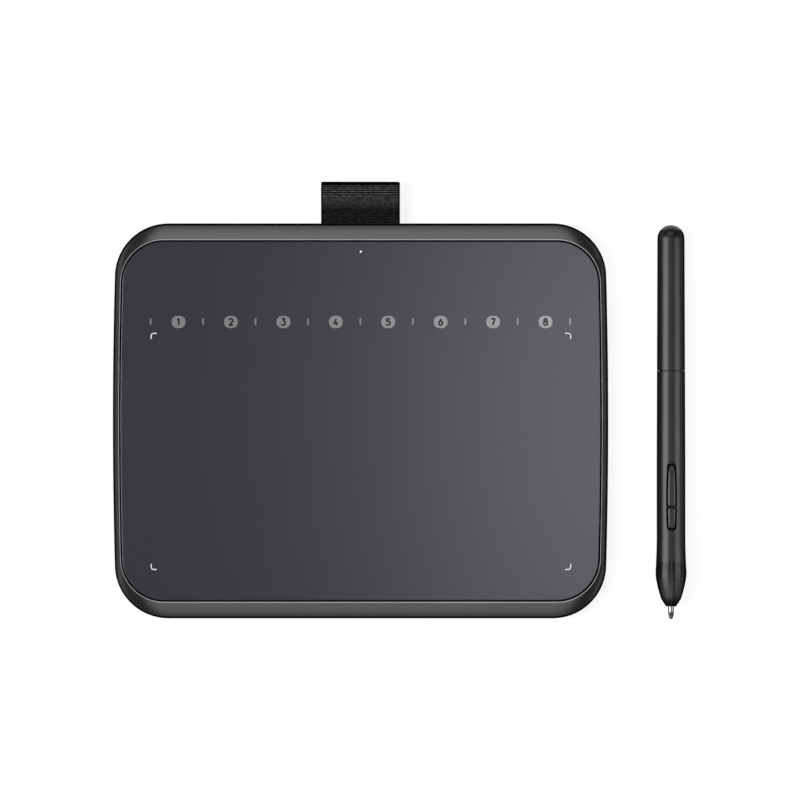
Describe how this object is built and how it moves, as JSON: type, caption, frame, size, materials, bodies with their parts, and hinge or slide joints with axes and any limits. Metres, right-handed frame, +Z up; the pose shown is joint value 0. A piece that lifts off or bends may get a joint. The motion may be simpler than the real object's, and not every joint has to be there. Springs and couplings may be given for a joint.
{
  "type": "pen drawing tablet",
  "caption": "Slim pen drawing tablet with a recessed drawing film, printed key row and woven pen loop, with its battery-free pen beside it.",
  "frame": {"origin": "middle of the footprint of tablet, pen loop and pen, on the desk they lie on", "axes": "+X to the right as the user sits at it, along the set's longest side; +Y away from the user, to the edge with the pen loop; +Z up out of the desk"},
  "size_m": [0.2186, 0.1665, 0.0119],
  "materials": {
    "case_paint": "fine satin dark grey moulding",
    "film": "matte fine-grain drawing film",
    "base_plastic": "fine textured black moulding",
    "foot_rubber": "matte black rubber",
    "glue_sheet": "double-sided adhesive sheet",
    "board_laminate": "solder-masked circuit board",
    "shield_foil": "thin magnetic shield sheet",
    "chip_black": "moulded chip package",
    "can_metal": "plated metal can",
    "led_white": "white diode package",
    "clear_plastic": "clear moulded pin",
    "socket_steel": "bright plated steel",
    "socket_black": "black moulded tongue",
    "screw_steel": "blackened steel screws",
    "webbing": "black ribbed woven webbing",
    "clamp_plastic": "black moulded bar",
    "pen_body": "soft satin black",
    "button_plastic": "satin black button caps",
    "nib_plastic": "smooth dark grey acetal",
    "ferrite": "sintered ferrite",
    "copper_wire": "enamelled copper winding",
    "carrier_plastic": "natural white moulding",
    "sensor_plastic": "sensor housing"
  },
  "bodies": {
    "tablet": {"top_case": "case_paint", "work_surface": "film", "film_glue": "glue_sheet", "sensor_board": "board_laminate", "shield_sheet": "shield_foil", "controller_chip": "chip_black", "scan_chips": "chip_black", "crystal": "can_metal", "status_led": "led_white", "light_pipe": "clear_plastic", "usb_shell": "socket_steel", "usb_tongue": "socket_black", "bottom_cover": "base_plastic", "foot_front_left": "foot_rubber", "foot_front_right": "foot_rubber", "foot_rear_left": "foot_rubber", "foot_rear_right": "foot_rubber", "case_screws": "screw_steel", "pen_loop": "webbing", "loop_clamp": "clamp_plastic"},
    "pen": {"pen_barrel": "pen_body", "pen_tail": "pen_body", "ferrite_core": "ferrite", "coil": "copper_wire", "pressure_sensor": "sensor_plastic", "core_carrier": "carrier_plastic", "pen_board": "board_laminate", "side_switches": "can_metal", "pen_chip": "chip_black", "pen_capacitors": "can_metal"},
    "upper_button": {"upper_button": "button_plastic"},
    "lower_button": {"lower_button": "button_plastic"},
    "nib_holder": {"nib_holder": "carrier_plastic"},
    "nib": {"nib": "nib_plastic"}
  },
  "joints": [
    {"name": "pen_lift", "type": "slide", "parent": "tablet", "child": "pen", "axis": [0, 0, 1], "range_m": [0, 0.1]},
    {"name": "upper_button_press", "type": "slide", "parent": "pen", "child": "upper_button", "axis": [0, -0.006, -1], "range_m": [0, 0.0004], "stiffness_N_per_m": 2500, "springref_m": -0.0002},
    {"name": "lower_button_press", "type": "slide", "parent": "pen", "child": "lower_button", "axis": [0, -0.006, -1], "range_m": [0, 0.0004], "stiffness_N_per_m": 2500, "springref_m": -0.0002},
    {"name": "nib_press", "type": "slide", "parent": "pen", "child": "nib_holder", "axis": [0, 1, -0.006], "range_m": [0, 0.00045], "stiffness_N_per_m": 3000, "springref_m": -0.0001},
    {"name": "nib_pull", "type": "slide", "parent": "nib_holder", "child": "nib", "axis": [0, -1, 0.006], "range_m": [0, 0.016]}
  ]
}
